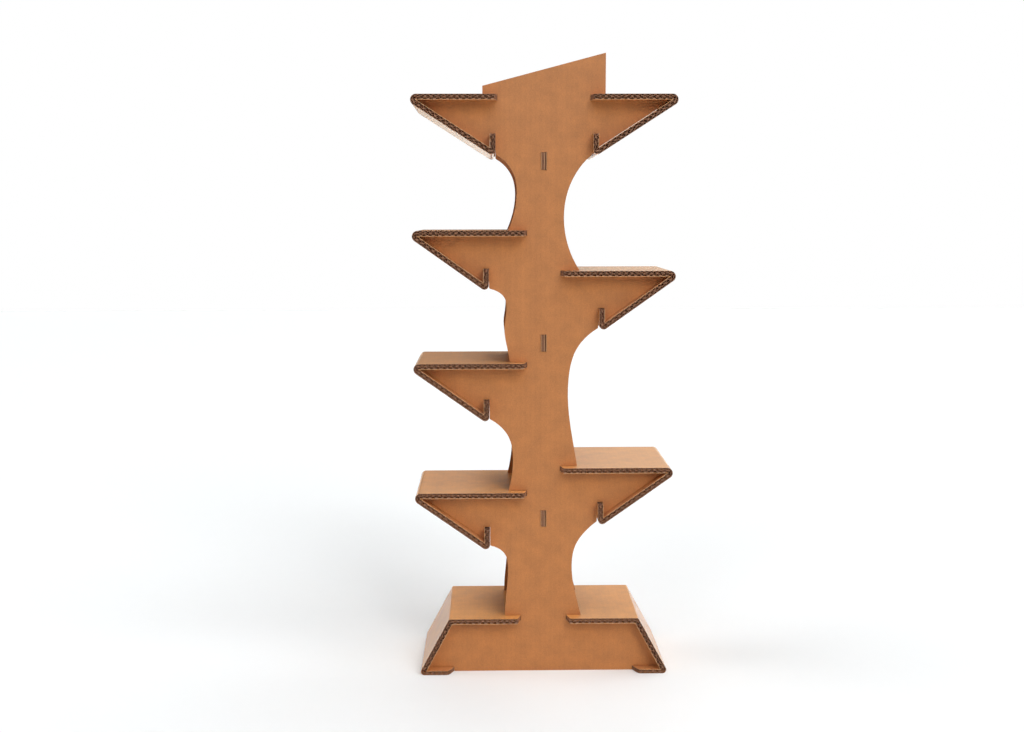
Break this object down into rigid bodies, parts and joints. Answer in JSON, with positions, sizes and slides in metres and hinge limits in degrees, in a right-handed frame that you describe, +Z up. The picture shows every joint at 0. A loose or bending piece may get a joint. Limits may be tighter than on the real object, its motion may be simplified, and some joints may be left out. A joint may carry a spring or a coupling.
{
  "type": "cardboard display stand",
  "caption": "Slot-together corrugated board display stand: two matching trunk-shaped uprights joined by a spine, with folded trays branching left and right over a folded base",
  "frame": {"origin": "middle of the footprint, on the floor", "axes": "+Z up, +X to the right as seen from the front, -Y to the front"},
  "size_m": [0.33, 0.14, 0.794],
  "materials": {
    "kraft_board": "uncoated brown kraft liner on double wall corrugated board, matt"
  },
  "bodies": {
    "root": {"front_upright": "kraft_board", "rear_upright": "kraft_board", "spine": "kraft_board", "tray_left_1": "kraft_board", "tray_left_2": "kraft_board", "tray_left_3": "kraft_board", "tray_left_4": "kraft_board", "tray_right_1": "kraft_board", "tray_right_2": "kraft_board", "tray_right_3": "kraft_board", "base_left": "kraft_board", "base_right": "kraft_board"}
  },
  "joints": []
}
